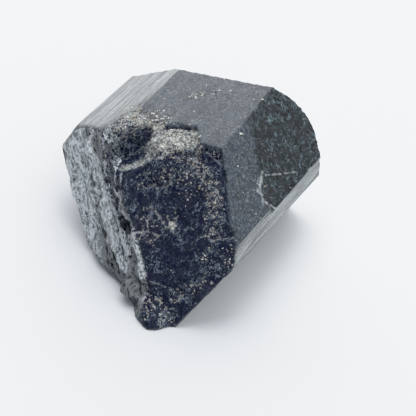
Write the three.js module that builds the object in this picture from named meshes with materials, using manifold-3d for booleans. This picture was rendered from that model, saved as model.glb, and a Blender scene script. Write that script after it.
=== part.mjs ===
// A stubby black tourmaline crystal lying on one of its prism faces.
// All sizes are millimetres and degrees. +Y runs along the crystal, from the broken end to the grown end,
// +X is the steep narrow face, +Z is up and the rest face lies on z = 0.
import * as THREE from 'three';
import { mergeVertices } from 'three/addons/utils/BufferGeometryUtils.js';
import { ImprovedNoise } from 'three/addons/math/ImprovedNoise.js';
import Module from 'manifold-3d';

// The prism's cross-section: each corner as [x, z] at the grown end and at the middle station,
// and the growth lines of the face that runs on from it: how many flats, and how deep they drop.
const GROWN_Y = 19;
const MIDDLE_Y = -11;
const CORNERS = {
  ridge: { grown: [12.1, 24.45], middle: [13.2, 23.5], flats: 8, drop: 0.05 },
  shoulder: { grown: [21.55, 13.15], middle: [21.65, 13.05], flats: 5, drop: 0.07 },
  belly: { grown: [21.75, 9.0], middle: [21.8, 10.3], flats: 7, drop: 0.16 },
  restRight: { grown: [15.9, 0], middle: [15.1, 0], flats: 1, drop: 0 },
  restLeft: { grown: [-7.6, 0], middle: [-7.6, 0], flats: 8, drop: 0.2 },
  leftCorner: { grown: [-21.6, 11.6], middle: [-21.7, 11.2], flats: 6, drop: 0.16 },
  crest: { grown: [-17.45, 17.65], middle: [-17.8, 16.95], flats: 11, drop: 0.11 },
  brow: { grown: [-8.0, 22.1], middle: [-7.35, 21.6], flats: 10, drop: 0.05 },
};
const PRISM = { from: -30, to: 26, rows: 8, core: [0, 12] };
const LINE_RISER = 0.12;
const LINE_SHIFT = { share: 0.34, alongLines: 3.17, alongFaces: 5.9, seed: 0.4 };
const LINE_DEPTH = { least: 0.25, spread: 1.1, everySecond: 0.35 };
const LINE_VARIATION = { alongLines: 1.9, alongFaces: 4.1, spacing: 23, seeds: [0.3, 0.7] };

// The broken end is carved along one direction, 30 degrees round from -Y and 38 degrees up.
const CARVE_ROUND = 30;
const CARVE_UP = 38;
const CARVE = { size: [66, 54], centre: [-5, 3], step: 0.55, back: 60 };

// Break faces: degrees round from -Y towards -X, degrees leaning up, and a point on the face.
const FRONT_FACE = { round: 7.4, up: 43.1, through: [13.0, -0.7, 24.0] };
const FOOT_FACE = { round: -3.4, up: 32, through: [14.7, -20.0, 0] };
const LEFT_FACE = { round: 26.8, up: 21.1, through: [-10.8, -6.0, 9.7] };
const WORN_BROW = { round: 54.8, up: 76.3, through: [-7.75, 6.95, 21.8] };
const TERRACE = { round: 6.6, up: 67.5, through: [0.25, 1.3, 22.0] };

// The terrace ends at a wall on its right: where it stands, how high it is and how far it slopes.
const TERRACE_WALL = { at: [7.9, -0.25, 25.3], rise: 4, before: 0.3, beyond: 0.6 };

// Hollows and lumps of the break: place, half-sizes across and along, turn, and depth (minus is a lump).
const HOLLOWS = [
  { at: [-3.9, -3.5, 19.6], half: [4.6, 3.6], turn: 18, deep: 2.3 },
  { at: [-7.4, -3.6, 18.9], half: [1.7, 3.4], turn: 12, deep: 1.3 },
  { at: [-2.9, -9.4, 12.8], half: [0.75, 1.7], turn: 14, deep: 1.2 },
  { at: [0.1, -11.7, 10.2], half: [0.85, 2.2], turn: 22, deep: 1.5 },
  { at: [-5.2, -7.0, 15.0], half: [0.8, 1.5], turn: 8, deep: 1.0 },
  { at: [10.9, -2.6, 22.1], half: [2.3, 1.3], turn: -14, deep: 0.8 },
  { at: [8.3, -7.5, 16.3], half: [6.5, 6.0], turn: 0, deep: 0.55 },
  { at: [13.8, -17.0, 5.0], half: [1.1, 0.8], turn: 20, deep: 0.7 },
  { at: [10.3, -21.8, 0.4], half: [4.4, 3.3], turn: 0, deep: -2.3 },
  { at: [7.9, -19.8, 1.6], half: [1.7, 2.4], turn: 0, deep: -0.9 },
  { at: [12.6, -19.2, 2.6], half: [1.6, 1.2], turn: 15, deep: -0.7 },
  { at: [-16.5, -2.2, 16.6], half: [3.0, 1.8], turn: 30, deep: -0.6 },
  { at: [-11.2, -2.9, 17.2], half: [2.6, 2.0], turn: 10, deep: -0.7 },
  { at: [-12.5, -4.4, 12.0], half: [1.6, 4.5], turn: 14, deep: 0.5 },
  { at: [-3.4, -13.5, 3.0], half: [1.5, 3.6], turn: 16, deep: -0.6 },
  { at: [4.6, -15.3, 6.0], half: [0.9, 3.4], turn: 12, deep: 0.5 },
];
const HOLLOW_FLOOR = 0.25;
const HOLLOW_RIM = 1.1;

// Ledges of the break: how far the surface drops, how far out that fades, and the line of the lip.
const LEDGES = [
  {
    drop: 0.55, fade: 4.5,
    line: [[7.2, -17.0, 5.4], [10.5, -16.7, 5.1], [16.8, -13.6, 9.7], [21.4, -11.9, 12.4]],
  },
  {
    drop: 0.4, fade: 3.2,
    line: [[9.9, -9.0, 14.2], [14.0, -9.9, 13.4], [19.3, -9.0, 15.9]],
  },
  {
    drop: 0.45, fade: 3.6,
    line: [[0.6, -4.9, 17.9], [5.0, -6.2, 16.8], [8.6, -4.4, 19.3], [13.4, -3.2, 21.3]],
  },
  {
    drop: 0.4, fade: 2.8,
    line: [[2.6, -11.3, 11.4], [7.0, -11.9, 11.0], [12.2, -12.4, 10.7]],
  },
  {
    drop: 0.5, fade: 2.4,
    line: [[6.6, -19.2, 1.9], [10.2, -19.2, 2.3], [14.9, -17.4, 4.4]],
  },
];
const LEDGE_LIP = { wide: 1.0, lift: 0.35, liftReach: 1.6 };

// Ribs of the left break face: how high they stand, how wide they are, and the line of the crest.
const RIBS = [
  {
    rise: 0.55, wide: 0.9,
    line: [[-10.6, -1.8, 19.6], [-6.6, -5.4, 15.4], [-4.4, -8.2, 12.2], [-0.9, -11.4, 9.4]],
  },
  {
    rise: 0.5, wide: 0.8,
    line: [[1.3, -11.6, 10.2], [4.0, -14.4, 7.4], [6.4, -17.6, 2.9]],
  },
  {
    rise: 0.35, wide: 0.9,
    line: [[-13.0, -1.6, 17.2], [-10.4, -4.9, 12.6], [-7.2, -8.6, 7.9]],
  },
  {
    rise: 0.3, wide: 1.0,
    line: [[-15.6, -1.8, 13.4], [-12.6, -4.9, 9.2], [-9.0, -8.2, 5.6]],
  },
];
const LINE_WANDER = { reach: 0.8, spacing: 3.1, seeds: [2.9, 8.3] };

// Grain of the break faces: height, spacing across and along the grain, turn, and noise seed.
const FRONT_GRAIN = { height: 0.2, across: 2.3, along: 2.9, turn: -20, seed: 1.3 };
const FOOT_GRAIN = { ...FRONT_GRAIN, seed: 5.1 };
const LEFT_GRAIN = { height: 0.3, across: 1.7, along: 7, turn: 14, seed: 9.7 };
const TERRACE_GRAIN = { height: 0.26, across: 1.6, along: 1.6, turn: 0, seed: 3.4 };
const BROW_GRAIN = { ...TERRACE_GRAIN, height: 0.156, seed: 2.2 };
const FINE_GRAIN = { finer: 1.7, share: 0.5, seed: 7.3 };
const SHELL_RIPPLES = { at: [-0.5, -7.5, 16.5], spacing: 3.1, height: 0.16, full: 5.6, reach: 14 };

// The etched patch on the sloping right face, in that face's own plane.
const ETCH = { deep: 0.24, across: 21, along: 34, step: 1.0, slope: 39.9, back: 3, clear: 0.7 };
const ETCH_MIDDLE = { down: 7.4, y: 14 };
const ETCH_BORDER = { ragged: 0.9, spacing: 1.7, seed: 4.4, before: 0.2, beyond: 0.6 };
const ETCH_DIMPLES = [
  { height: 0.15, across: 1.5, along: 2.6, seed: 8.1 },
  { height: 0.075, across: 0.8, along: 1.2, seed: 1.9 },
];
const ETCH_EDGE = [
  [14.2, 9.1, 22.0],
  [17.8, 4.0, 17.8],
  [20.1, 0.6, 15.1],
  [21.9, 0.2, 12.9],
];

// The grown end: flat, with low steps, and with a swelling behind the sloping right face.
const SWELLING = { height: 3.3, half: 7.5, full: 2, reach: 17, at: [17.0, 18.7] };
const GROWN_GRAIN = { height: 0.24, spacing: 4.2, seed: 6.6 };
const GROWN_STEPS = { spacing: 5.2, rise: 0.28, acrossX: 0.3, acrossZ: 0.55, fromZ: 14, tread: 0.75 };
const GROWN_WANDER = { share: 0.5, spacing: 6, seed: 3.1 };
const GROWN_BRIM = { z: 21, wide: 5 };
const GROWN_CUT = { size: [48, 30], step: 1.8, reach: 20, z: 12 };

// The lifted lower left edge, and the small lump that hangs in it.
const UNDERCUT = { size: [30, 11, 4], cells: [12, 4, 1], at: [-9.0, -12.3, -0.3], turn: -28.5, tilt: 24 };
const UNDERCUT_WAVE = { height: 0.3, spacing: 2.5, seed: 7.7 };
const LUMP = { at: [5.2, -16.4, 1.95], half: [2.7, 2.7, 1.98], flatBelow: -0.98 };
const LUMP_DENT = { share: 0.2, finer: 1.4, seed: 3 };

const { degToRad, smoothstep, lerp, clamp } = THREE.MathUtils;
const noise = new ImprovedNoise();

// Rises from 0 at `from` to 1 at `to`.
function ramp(from, to, value) {
  return smoothstep(value, from, to);
}

function grain(across, along, spec) {
  const turned = degToRad(spec.turn);
  const a = across * Math.cos(turned) + along * Math.sin(turned);
  const b = along * Math.cos(turned) - across * Math.sin(turned);
  const { finer, share, seed } = FINE_GRAIN;
  const coarse = noise.noise(a / spec.across, b / spec.along, spec.seed);
  const fine = noise.noise((finer * a) / spec.across, (finer * b) / spec.along, spec.seed + seed);
  return spec.height * (coarse + share * fine);
}

// A plane facing `round` degrees from -Y towards -X and `up` degrees above the level.
function breakPlane(face) {
  const round = degToRad(face.round);
  const up = degToRad(face.up);
  const normal = new THREE.Vector3(
    -Math.sin(round) * Math.cos(up),
    -Math.cos(round) * Math.cos(up),
    Math.sin(up),
  );
  const through = new THREE.Vector3(...face.through);
  return new THREE.Plane().setFromNormalAndCoplanarPoint(normal, through);
}

function bare(geometry) {
  geometry.deleteAttribute('normal');
  geometry.deleteAttribute('uv');
  return mergeVertices(geometry, 1e-4);
}

// A block whose near face (local -Z) is moved to height(x, y); the frame places it in the part.
function reliefBlock(size, step, back, height, frame) {
  const across = Math.round(size[0] / step);
  const along = Math.round(size[1] / step);
  const block = bare(new THREE.BoxGeometry(size[0], size[1], 2, across, along, 1));
  const place = block.attributes.position;
  for (let i = 0; i < place.count; i += 1) {
    const x = place.getX(i);
    const y = place.getY(i);
    place.setZ(i, place.getZ(i) < 0 ? height(x, y) : back);
  }
  block.applyMatrix4(frame);
  return block;
}

// How deep the flat after a growth line lies below the face.
function lineDepth(line, side, y, drop) {
  const { alongLines, alongFaces, spacing, seeds } = LINE_VARIATION;
  const wander = noise.noise(line * alongLines + seeds[0], side * alongFaces + seeds[1], y / spacing);
  const depth = drop * (LINE_DEPTH.least + LINE_DEPTH.spread * (0.5 + 0.5 * wander));
  return line % 2 ? depth : depth * LINE_DEPTH.everySecond;
}

// The outline of the section at one station, with the growth lines of every face.
function sectionAt(y) {
  const share = (GROWN_Y - y) / (GROWN_Y - MIDDLE_Y);
  const sides = Object.values(CORNERS).map((corner) => ({
    ...corner,
    place: new THREE.Vector2(...corner.grown).lerp(new THREE.Vector2(...corner.middle), share),
  }));
  const outline = [];
  sides.forEach(({ place: from, flats, drop }, side) => {
    const run = sides[(side + 1) % sides.length].place.clone().sub(from);
    const inward = new THREE.Vector2(run.y, -run.x).normalize();
    const riser = LINE_RISER / run.length();
    outline.push(from.clone());
    let last = 0;
    for (let line = 1; line < flats; line += 1) {
      const { alongLines, alongFaces, seed } = LINE_SHIFT;
      const shift = LINE_SHIFT.share * noise.noise(line * alongLines, side * alongFaces, seed);
      const at = (line + shift) / flats;
      const next = line === flats - 1 ? 0 : lineDepth(line, side, y, drop);
      outline.push(from.clone().addScaledVector(run, at - riser).addScaledVector(inward, last));
      outline.push(from.clone().addScaledVector(run, at + riser).addScaledVector(inward, next));
      last = next;
    }
  });
  return outline;
}

function prismGeometry() {
  const count = sectionAt(0).length;
  const prism = bare(new THREE.CylinderGeometry(1, 1, 1, count, PRISM.rows));
  const place = prism.attributes.position;
  const core = new THREE.Vector2(...PRISM.core);
  for (let i = 0; i < place.count; i += 1) {
    const y = lerp(PRISM.from, PRISM.to, place.getY(i) + 0.5);
    const turn = Math.atan2(place.getX(i), place.getZ(i)) / (2 * Math.PI);
    const index = (Math.round(turn * count) + count) % count;
    const onAxis = Math.hypot(place.getX(i), place.getZ(i)) < 0.5;
    const point = onAxis ? core : sectionAt(y)[index];
    place.setXYZ(i, point.x, y, point.y);
  }
  return prism;
}

// The direction the broken end is carved along, with its own right and up.
function carveFrame() {
  const round = degToRad(CARVE_ROUND);
  const up = degToRad(CARVE_UP);
  const out = new THREE.Vector3(
    Math.sin(round) * Math.cos(up),
    -Math.cos(round) * Math.cos(up),
    Math.sin(up),
  );
  const right = new THREE.Vector3(Math.cos(round), Math.sin(round), 0);
  const above = out.clone().cross(right);
  return { right, above, out, matrix: new THREE.Matrix4().makeBasis(right, above, out) };
}

// Distance from a place to a line of points, and its side: plus on the line's right, going along it.
function lineDistance(line, place) {
  let nearest = { away: Infinity, side: 1 };
  for (let i = 1; i < line.length; i += 1) {
    const run = line[i].clone().sub(line[i - 1]);
    const offset = place.clone().sub(line[i - 1]);
    const share = clamp(offset.dot(run) / run.lengthSq(), 0, 1);
    const away = offset.clone().addScaledVector(run, -share).length();
    const side = Math.sign(offset.x * run.y - offset.y * run.x) || 1;
    nearest = away < nearest.away ? { away, side } : nearest;
  }
  return nearest;
}

// What the ledges and ribs add to the surface of the break at one place.
function lineRelief(ledges, ribs, at) {
  const { reach, spacing, seeds } = LINE_WANDER;
  const [wanderX, wanderY] = seeds.map((seed) => reach * noise.noise(at.x / spacing, at.y / spacing, seed));
  const place = new THREE.Vector2(at.x + wanderX, at.y + wanderY);
  const { wide, lift, liftReach } = LEDGE_LIP;
  let relief = 0;
  ledges.forEach((ledge) => {
    const { away, side } = lineDistance(ledge.line, place);
    const below = ramp(0, wide, away) * (1 - ramp(wide, ledge.fade, away));
    const above = lift * (1 - ramp(0, liftReach, away));
    relief += ledge.drop * (side > 0 ? -below : above);
  });
  ribs.forEach((rib) => {
    relief += rib.rise * (1 - ramp(0, rib.wide, lineDistance(rib.line, place).away));
  });
  return relief;
}

// How deep one hollow is at a place of the carved surface.
function hollowDepth(hollow, x, y) {
  const turned = degToRad(hollow.turn);
  const dx = x - hollow.centre.x;
  const dy = y - hollow.centre.y;
  const across = dx * Math.cos(turned) + dy * Math.sin(turned);
  const along = dy * Math.cos(turned) - dx * Math.sin(turned);
  const edge = Math.hypot(across / hollow.half[0], along / hollow.half[1]);
  return hollow.deep * (1 - ramp(HOLLOW_FLOOR, HOLLOW_RIM, edge));
}

// Low shell-like waves round one point of the front face.
function shellWave(centre, x, y) {
  const away = Math.hypot(x - centre.x, y - centre.y);
  const fade = 1 - ramp(SHELL_RIPPLES.full, SHELL_RIPPLES.reach, away);
  const ring = Math.abs(((away / SHELL_RIPPLES.spacing) % 1) - 0.5) * 2;
  return SHELL_RIPPLES.height * fade * ring;
}

function brokenEnd() {
  const frame = carveFrame();
  const seen = (point) => {
    const place = new THREE.Vector3(...point);
    return new THREE.Vector2(place.dot(frame.right), place.dot(frame.above));
  };
  const front = breakPlane(FRONT_FACE);
  const foot = breakPlane(FOOT_FACE);
  const left = breakPlane(LEFT_FACE);
  const brow = breakPlane(WORN_BROW);
  const terrace = breakPlane(TERRACE);
  const wallX = seen(TERRACE_WALL.at).x;
  const rippleCentre = seen(SHELL_RIPPLES.at);
  const hollows = HOLLOWS.map((hollow) => ({ ...hollow, centre: seen(hollow.at) }));
  const ledges = LEDGES.map((ledge) => ({ ...ledge, line: ledge.line.map(seen) }));
  const ribs = RIBS.map((rib) => ({ ...rib, line: rib.line.map(seen) }));
  // How far out along the carving direction a break plane lies at a place across it.
  const reach = (plane, x, y) => {
    const base = frame.right.clone().multiplyScalar(x).addScaledVector(frame.above, y);
    return -plane.distanceToPoint(base) / plane.normal.dot(frame.out);
  };
  const height = (x, y) => {
    const wall = TERRACE_WALL.rise * ramp(wallX - TERRACE_WALL.before, wallX + TERRACE_WALL.beyond, x);
    let surface = Math.min(
      reach(front, x, y) + grain(x, y, FRONT_GRAIN) - shellWave(rippleCentre, x, y),
      reach(foot, x, y) + grain(x, y, FOOT_GRAIN),
      reach(left, x, y) + grain(x, y, LEFT_GRAIN),
      reach(brow, x, y) + grain(x, y, BROW_GRAIN),
      reach(terrace, x, y) + grain(x, y, TERRACE_GRAIN) + wall,
    );
    hollows.forEach((hollow) => {
      surface -= hollowDepth(hollow, x, y);
    });
    return surface + lineRelief(ledges, ribs, new THREE.Vector2(x, y));
  };
  const [centreX, centreY] = CARVE.centre;
  return reliefBlock(
    CARVE.size,
    CARVE.step,
    CARVE.back,
    (x, y) => height(x + centreX, y + centreY),
    frame.matrix.clone().multiply(new THREE.Matrix4().makeTranslation(centreX, centreY, 0)),
  );
}

// How far the grown end reaches along +Y at a place across the crystal.
function grownReach(x, z) {
  const [swellX, swellZ] = SWELLING.at;
  const slope = degToRad(ETCH.slope);
  const along = (x - swellX) * Math.sin(slope) - (z - swellZ) * Math.cos(slope);
  const inward = (swellX - x) * Math.cos(slope) + (swellZ - z) * Math.sin(slope);
  const arch = Math.max(0, 1 - (along / SWELLING.half) ** 2);
  const swell = SWELLING.height * arch * (1 - ramp(SWELLING.full, SWELLING.reach, inward));
  const rough = noise.noise(x / GROWN_GRAIN.spacing, z / GROWN_GRAIN.spacing, GROWN_GRAIN.seed);
  const lift = GROWN_STEPS.acrossX * x + GROWN_STEPS.acrossZ * (z - GROWN_STEPS.fromZ);
  const wander = noise.noise(x / GROWN_WANDER.spacing, z / GROWN_WANDER.spacing, GROWN_WANDER.seed);
  const stair = lift / GROWN_STEPS.spacing + GROWN_WANDER.share * wander;
  const tread = Math.floor(stair);
  const step = GROWN_STEPS.rise * (tread + ramp(GROWN_STEPS.tread, 1, stair - tread));
  const brim = ramp(0, GROWN_BRIM.wide, GROWN_BRIM.z - z);
  return GROWN_Y + swell + (GROWN_GRAIN.height * rough + step) * brim;
}

function grownEnd() {
  // Local x, y and z of the block are -X, +Z and +Y of the part.
  const frame = new THREE.Matrix4().makeBasis(
    new THREE.Vector3(-1, 0, 0),
    new THREE.Vector3(0, 0, 1),
    new THREE.Vector3(0, 1, 0),
  );
  return reliefBlock(
    GROWN_CUT.size,
    GROWN_CUT.step,
    GROWN_Y + GROWN_CUT.reach,
    (x, y) => grownReach(-x, y + GROWN_CUT.z),
    frame.multiply(new THREE.Matrix4().makeTranslation(0, GROWN_CUT.z, 0)),
  );
}

// The etched patch: a shallow, rough recess that runs from a stepped edge to the grown end.
function etchedPatch() {
  const slope = degToRad(ETCH.slope);
  const out = new THREE.Vector3(Math.cos(slope), 0, Math.sin(slope));
  const length = new THREE.Vector3(0, 1, 0);
  const across = length.clone().cross(out);
  const [ridgeX, ridgeZ] = CORNERS.ridge.grown;
  const ridge = new THREE.Vector3(ridgeX, GROWN_Y, ridgeZ);
  const centre = ridge.clone().addScaledVector(across, ETCH_MIDDLE.down).setY(ETCH_MIDDLE.y);
  const frame = new THREE.Matrix4().makeBasis(across, length, out).setPosition(centre);
  const edge = ETCH_EDGE.map((point) => {
    const place = new THREE.Vector3(...point).sub(centre);
    return new THREE.Vector2(place.dot(across), place.dot(length));
  });
  const start = (x) => {
    const after = edge.findIndex((point, index) => index > 0 && point.x > x);
    const to = edge[after < 0 ? edge.length - 1 : after];
    const from = edge[edge.indexOf(to) - 1];
    const share = clamp((x - from.x) / (to.x - from.x), -2, 1);
    return lerp(from.y, to.y, share);
  };
  const height = (x, y) => {
    const { ragged, spacing, seed, before, beyond } = ETCH_BORDER;
    const border = start(x) - ragged * noise.noise(x / spacing, y / spacing, seed);
    const inside = ramp(-before, beyond, y - border);
    let floor = -ETCH.deep;
    ETCH_DIMPLES.forEach((dimple) => {
      floor -= dimple.height * noise.noise(x / dimple.across, y / dimple.along, dimple.seed);
    });
    return lerp(ETCH.clear, 0, inside) + inside * floor;
  };
  return reliefBlock([ETCH.across, ETCH.along], ETCH.step, ETCH.back, height, frame);
}

function undercutWedge() {
  const wedge = bare(new THREE.BoxGeometry(...UNDERCUT.size, ...UNDERCUT.cells));
  const place = wedge.attributes.position;
  const { height, spacing, seed } = UNDERCUT_WAVE;
  for (let i = 0; i < place.count; i += 1) {
    const wave = height * noise.noise(place.getX(i) / spacing, place.getY(i) / spacing, seed);
    place.setZ(i, place.getZ(i) + wave);
  }
  wedge.rotateX(degToRad(-UNDERCUT.tilt));
  wedge.rotateZ(degToRad(UNDERCUT.turn));
  wedge.translate(...UNDERCUT.at);
  return wedge;
}

function hangingLump() {
  const lump = bare(new THREE.IcosahedronGeometry(1, 4));
  const place = lump.attributes.position;
  const { share, finer, seed } = LUMP_DENT;
  const point = new THREE.Vector3();
  for (let i = 0; i < place.count; i += 1) {
    point.fromBufferAttribute(place, i);
    point.multiplyScalar(1 + share * noise.noise(point.x * finer, point.y * finer, point.z * finer + seed));
    place.setXYZ(i, point.x, point.y, Math.max(LUMP.flatBelow, point.z));
  }
  lump.scale(...LUMP.half);
  lump.translate(...LUMP.at);
  return lump;
}

const wasm = await Module();
wasm.setup();

function solid(geometry) {
  return new wasm.Manifold(new wasm.Mesh({
    numProp: 3,
    vertProperties: new Float32Array(geometry.attributes.position.array),
    triVerts: new Uint32Array(geometry.index.array),
  }));
}

function geometryOf(manifold) {
  const mesh = manifold.getMesh();
  const geometry = new THREE.BufferGeometry();
  geometry.setAttribute('position', new THREE.BufferAttribute(mesh.vertProperties, 3));
  geometry.setIndex(new THREE.BufferAttribute(mesh.triVerts, 1));
  geometry.computeVertexNormals();
  return geometry;
}

const crystal = solid(prismGeometry())
  .subtract(solid(etchedPatch()))
  .subtract(solid(grownEnd()))
  .subtract(solid(brokenEnd()))
  .subtract(solid(undercutWedge()))
  .add(solid(hangingLump()));

// The part's origin is the bottom centre of its bounding box.
const shape = geometryOf(crystal);
shape.computeBoundingBox();
const middle = shape.boundingBox.getCenter(new THREE.Vector3());
shape.translate(-middle.x, -middle.y, 0);

const stone = new THREE.MeshStandardMaterial({ color: 0x17191f, roughness: 0.42, metalness: 0 });
const tourmaline = new THREE.Mesh(shape, stone);
tourmaline.name = 'tourmaline_crystal';

const group = new THREE.Group();
group.name = 'tourmaline';
group.add(tourmaline);

export default group;
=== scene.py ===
"""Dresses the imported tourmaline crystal: its growth lines, broken stone and mica flakes, and the studio."""

import math
from types import SimpleNamespace

import bpy
import numpy as np
from bpy.props import FloatProperty, FloatVectorProperty, IntProperty, PointerProperty
from mathutils import Euler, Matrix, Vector, noise


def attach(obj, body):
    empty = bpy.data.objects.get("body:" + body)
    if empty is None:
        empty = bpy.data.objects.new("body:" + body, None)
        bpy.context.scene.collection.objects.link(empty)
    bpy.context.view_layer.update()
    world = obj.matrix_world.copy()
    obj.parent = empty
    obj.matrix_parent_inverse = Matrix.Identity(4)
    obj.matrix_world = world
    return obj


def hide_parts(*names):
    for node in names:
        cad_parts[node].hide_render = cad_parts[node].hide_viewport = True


bl_info = {
    "name": "Tourmaline crystal",
    "version": (1, 0, 0),
    "blender": (4, 5, 0),
    "location": "View3D > Sidebar > Crystal",
    "description": "A black tourmaline crystal with a rough, glittering break, in a pale studio",
    "category": "Object",
}

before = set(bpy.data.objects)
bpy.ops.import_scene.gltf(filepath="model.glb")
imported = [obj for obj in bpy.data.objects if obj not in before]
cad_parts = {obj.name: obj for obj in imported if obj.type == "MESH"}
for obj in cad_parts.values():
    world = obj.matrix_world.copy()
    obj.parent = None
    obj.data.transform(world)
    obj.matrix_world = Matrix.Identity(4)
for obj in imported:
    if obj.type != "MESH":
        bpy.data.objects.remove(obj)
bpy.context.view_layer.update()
MM = 0.001

# The prism's corners as (x, z) at the grown end and at the middle station, in millimetres.
GROWN_Y = 19.0
MIDDLE_Y = -11.0
CORNERS = {
    "ridge": ((12.1, 24.45), (13.2, 23.5)),
    "shoulder": ((21.55, 13.15), (21.65, 13.05)),
    "belly": ((21.75, 9.0), (21.8, 10.3)),
    "rest right": ((15.9, 0.0), (15.1, 0.0)),
    "rest left": ((-7.6, 0.0), (-7.6, 0.0)),
    "left corner": ((-21.6, 11.6), (-21.7, 11.2)),
    "crest": ((-17.45, 17.65), (-17.8, 16.95)),
    "brow": ((-8.0, 22.1), (-7.35, 21.6)),
}
SIDES = list(CORNERS)

# Break faces: degrees round from -Y towards -X, degrees leaning up, and a point on the face.
BREAK_FACES = {
    "front": (7.4, 43.1, (13.0, -0.7, 24.0)),
    "foot": (-3.4, 32.0, (14.7, -20.0, 0.0)),
    "left": (26.8, 21.1, (-10.8, -6.0, 9.7)),
    "brow": (54.8, 76.3, (-7.75, 6.95, 21.8)),
    "terrace": (6.6, 67.5, (0.25, 1.3, 22.0)),
}

# The terrace ends this far (mm) along its own level line, which runs so many degrees round from +X.
TERRACE_END = 7.2
TERRACE_TURN = 30

# Height that keeps a point off the terrace (mm).
OFF_TERRACE = -9.0

# Places along the axis where the break is over and where the far end begins (mm).
BREAK_END = 12
GROWN_START = 15

# How near to a side's plane a point is to belong to it, and how near to its nearest side's (mm).
SIDE_DEPTH = 0.9
SIDE_SLACK = 0.25

# Width of the blend between break faces (mm).
FACE_BLEND = 0.3

# Where the etched patch of the sloping right face begins, as (z, y) from the ridge to the shoulder (mm).
ETCH_EDGE = ((23.0, 8.2), (21.0, 5.6), (17.8, 2.6), (15.1, 0.3), (12.9, 0.2))

# Glassy dark hollows of the break, as half-width and line. Lines are places in millimetres.
DARK_RUNS = (
    (1.9, ((-6.3, -1.4, 17.3), (-4.6, -0.4, 19.2), (-2.9, -0.1, 20.5))),
    (1.2, ((-8.4, -2.4, 17.4), (-7.0, -5.0, 16.5), (-6.5, -6.5, 13.9))),
    (0.75, ((-5.3, -6.9, 13.8), (-4.8, -8.0, 12.1))),
    (0.65, ((-3.9, -8.4, 11.6), (-2.4, -9.9, 10.9))),
    (0.8, ((-1.6, -10.2, 10.0), (0.5, -11.4, 8.8))),
    (0.45, ((-8.2, -4.6, 14.2), (-7.2, -6.0, 12.9))),
    (0.28, ((0.5, 1.9, 22.3), (3.0, 2.6, 22.5), (5.5, 3.0, 22.9))),
    (1.3, ((10.0, -0.5, 23.5), (13.2, -1.6, 22.9))),
    (0.7, ((4.4, -2.3, 20.7), (7.2, -1.5, 21.2))),
    (1.3, ((0.2, -6.2, 16.2), (4.0, -5.4, 17.0))),
    (0.5, ((-9.0, -0.6, 19.2), (-11.4, -1.2, 18.8))),
    (0.35, ((-13.9, 0.0, 18.4), (-14.9, -0.1, 18.3))),
)

# Fine light veins, as half-width, strength and line. Those on the crest beside the main hollow and along the
# border of the sloping right face are painted highlights on edges.
VEINS = (
    # On the crest below the main hollow: painted highlight.
    (0.28, 0.95, ((2.6, -3.1, 19.8), (-1.4, -4.1, 17.4), (-3.9, -5.1, 16.4), (-5.6, -5.7, 14.8))),
    (0.22, 0.9, ((-5.6, -5.7, 14.8), (-5.2, -7.4, 13.6), (-4.0, -7.8, 12.0), (-1.2, -10.0, 11.3))),
    (0.26, 0.9, ((-1.2, -10.0, 11.3), (1.8, -12.1, 9.8), (3.8, -13.6, 9.2))),
    (0.25, 0.9, ((-8.1, -6.0, 12.6), (-5.8, -7.8, 11.3), (-2.7, -10.1, 9.9), (-0.5, -11.8, 8.2))),
    (0.25, 0.9, ((-0.5, -11.8, 8.2), (1.6, -13.8, 6.3), (3.8, -15.6, 3.5), (6.3, -18.3, 2.8))),
    (0.18, 0.8, ((-4.1, -5.8, 16.0), (-3.5, -7.1, 14.6), (-3.3, -8.1, 12.5))),
    (0.14, 0.5, ((7.2, -17.0, 5.2), (9.9, -16.9, 5.2), (12.6, -16.4, 4.6))),
    (0.14, 0.5, ((12.3, -10.1, 13.4), (16.8, -11.0, 13.1), (20.0, -10.1, 14.4))),
    (0.22, 0.7, ((2.0, -12.4, 9.7), (4.7, -11.8, 10.7), (7.0, -12.0, 10.8))),
    (0.16, 0.5, ((3.7, -8.9, 13.7), (6.8, -10.3, 12.6), (9.7, -11.4, 12.1))),
    (0.3, 0.8, ((-15.2, -0.7, 17.0), (-10.7, -3.9, 14.8), (-7.8, -6.1, 12.8))),
    # Along the border of the sloping right face: painted highlights on its edge.
    (0.2, 0.35, ((17.7, 4.1, 17.7), (18.7, 1.6, 16.5), (20.0, 0.4, 15.0), (21.5, 2.2, 12.7))),
    (0.14, 0.35, ((18.2, 1.8, 17.2), (18.9, 0.6, 16.4), (19.8, 1.3, 15.3), (20.4, -0.4, 14.6))),
    (0.12, 0.3, ((18.1, 4.8, 16.8), (19.4, 8.1, 15.4), (20.5, 11.8, 13.9))),
)

# The jumbled ridge between the two break faces, as its half-width and line.
JUMBLE_HALF = 2.0
JUMBLE_LINE = (
    (-9.5, -0.9, 18.8),
    (-7.2, -3.6, 17.2),
    (-6.2, -6.3, 14.0),
    (-3.2, -9.3, 10.6),
    (1.2, -13.2, 6.4),
)

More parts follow.
